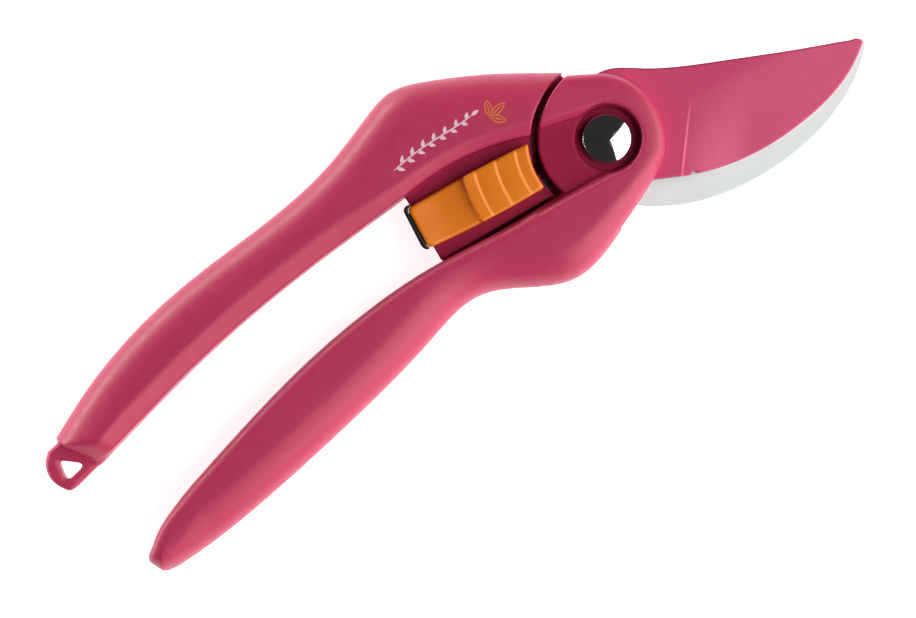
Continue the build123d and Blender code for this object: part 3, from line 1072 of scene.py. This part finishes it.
def lower_recess_painted_shade(x, y, z, normal):
    """The bolt's pocket and the sunk flat of the front lug, painted in the darker pink as shade."""
    pocket = math.hypot(x, y) < POCKET_HIGH
    flat = within(x, FLAT_SPAN) and within(y, FLAT_SIDES) and z < LUG_RECESS + 0.7
    return (pocket or flat) and z > BLADE_FRONT + 0.2 and normal.z > FACING_BACK


def blade_rim_painted_shade(x, y, z, normal):
    """The upright rim of the blade and the broken edge along its spine, painted dark as shade."""
    return abs(normal.z) < NEARLY_UPRIGHT or normal.y > TOWARDS_SPINE


# ---- camera, floor and lights --------------------------------------------------------------------
def add_camera():
    """Straight down on the flat tool, turned so that it lies across the picture as in use."""
    low, high = CAD_BOX
    aim = (low + high) / 2 + Vector((-0.0055, -0.0151, 0))
    lens, sensor = 120.0, 36.0
    seen = 0.1997                          # width of the view at the tool's middle plane, in metres
    data = bpy.data.cameras.new("camera")
    data.lens, data.sensor_width = lens, sensor
    data.clip_start, data.clip_end = 0.01, 20
    camera = bpy.data.objects.new("camera", data)
    distance = seen * lens / sensor
    camera.location = (aim.x, aim.y, MIDDLE * MM + distance)
    camera.rotation_euler = (0, 0, math.radians(-30))
    bpy.context.scene.collection.objects.link(camera)
    bpy.context.scene.camera = camera


def add_floor(half_side=3000.0):
    """A square floor that the tool's back lies on."""
    corners = [(-1, -1), (1, -1), (1, 1), (-1, 1)]
    verts = [(i * half_side, j * half_side, BACK) for i, j in corners]
    floor = new_object("floor", verts, [(0, 1, 2, 3)], False)
    paint(floor, floor_paper())


def add_panel(name, azimuth, elevation, distance, size, roll, radiance):
    """A flat soft light that faces the object from a direction given in degrees."""
    data = bpy.data.lights.new(name, "AREA")
    data.shape = "RECTANGLE"
    data.size, data.size_y = size
    data.energy = radiance * math.pi * size[0] * size[1]
    a, e = math.radians(azimuth), math.radians(elevation)
    toward = Vector((math.cos(e) * math.cos(a), math.cos(e) * math.sin(a), math.sin(e)))
    facing = toward.to_track_quat("Z", "Y") @ Quaternion((0, 0, 1), math.radians(roll))
    lamp = bpy.data.objects.new(name, data)
    lamp.rotation_euler = facing.to_euler()
    lamp.location = Vector((-0.03, 0, 0)) + toward * distance
    bpy.context.scene.collection.objects.link(lamp)


def add_world(strength=0.03):
    """A faint white surround."""
    world = bpy.data.worlds.new("studio")
    world.use_nodes = True
    background = world.node_tree.nodes["Background"]
    background.inputs["Color"].default_value = (1, 1, 1, 1)
    background.inputs["Strength"].default_value = strength
    bpy.context.scene.world = world


def add_stage():
    bpy.context.scene.view_settings.view_transform = "Standard"
    add_camera()
    add_floor()
    add_world()
    add_panel("softbox_right", azimuth=-40, elevation=32, distance=1.3,
              size=(2.0, 2.0), roll=45, radiance=3.6)
    add_panel("strip_up_left", azimuth=127, elevation=5, distance=1.2,
              size=(2.4, 0.17), roll=0, radiance=19.0)


# ---- the object ----------------------------------------------------------------------------------
def add_piece(piece, material, body, nodes):
    """Gives a new piece its finish and its body, and hides the CAD nodes that it stands for."""
    paint(piece, material)
    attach(piece, body)
    if nodes:
        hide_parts(*nodes)
    return piece


def add_handles():
    """Both moulded handles; returns the upper one, which carries the print."""
    pink, painted_shade_pink = pink_handle(), pink_recess_painted_shade()
    upper = moulded("upper_handle_moulding", UpperHandle(), "upper_handle")
    add_piece(upper, pink, "handle", ["upper_handle"])
    lower = moulded("lower_handle_moulding", LowerHandle(), "lower_handle")
    add_piece(lower, pink, "lower_arm", ["lower_handle"])
    # The recessed faces and the bolt's pocket take the darker pink as painted shade.
    paint_faces(upper, painted_shade_pink, upper_recess_painted_shade)
    paint_faces(lower, painted_shade_pink, lower_recess_painted_shade)
    return upper


def add_blades():
    """The coated cutting blade, the bare hook and the bolt."""
    blade = moulded("coated_blade", CuttingBlade(), "cutting_blade", FINE)
    add_piece(blade, pink_coating(), "lower_arm", ["cutting_blade"])
    # The blade's rim and spine edge take the dark coating as painted shade.
    paint_faces(blade, coating_edge_painted_shade(), blade_rim_painted_shade)
    hook = moulded("hook_blade", CounterBlade(), "counter_blade", FINE)
    add_piece(hook, ground_steel(), "handle", ["counter_blade"])
    bolt = lathe("domed_bolt", bolt_profile())
    add_piece(bolt, chrome(), "handle", ["pivot_bolt"])


def add_lock():
    """The thumb slide and its carrier."""
    slide = moulded("thumb_slide", ThumbSlide(), "lock_button", FINE)
    add_piece(slide, button_orange(), "lock", ["lock_button"])
    carrier = moulded("slide_carrier", SliderEnd(), "lock_slider", FINE)
    add_piece(carrier, black_plastic(), "lock", ["lock_slider"])


def add_print(upper):
    add_piece(pale_sprig(upper), print_pale(), "handle", [])
    add_piece(orange_leaves(upper), print_orange(), "handle", [])


def paint_small_parts():
    """Finishes of the CAD nodes that are shown as they are."""
    steel, bush = dull_steel(), dark_bush()
    finishes = {
        "pivot_nut": steel, "head_washer": steel, "nut_washer": steel, "return_spring": steel,
        "lock_screw": steel, "lock_detent_spring": steel, "pivot_bush": bush,
        "friction_washer": bush, "stop_bumper": rubber()}
    for node, material in finishes.items():
        paint(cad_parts[node], material)


add_stage()
upper_handle = add_handles()
add_blades()
add_lock()
add_print(upper_handle)
paint_small_parts()
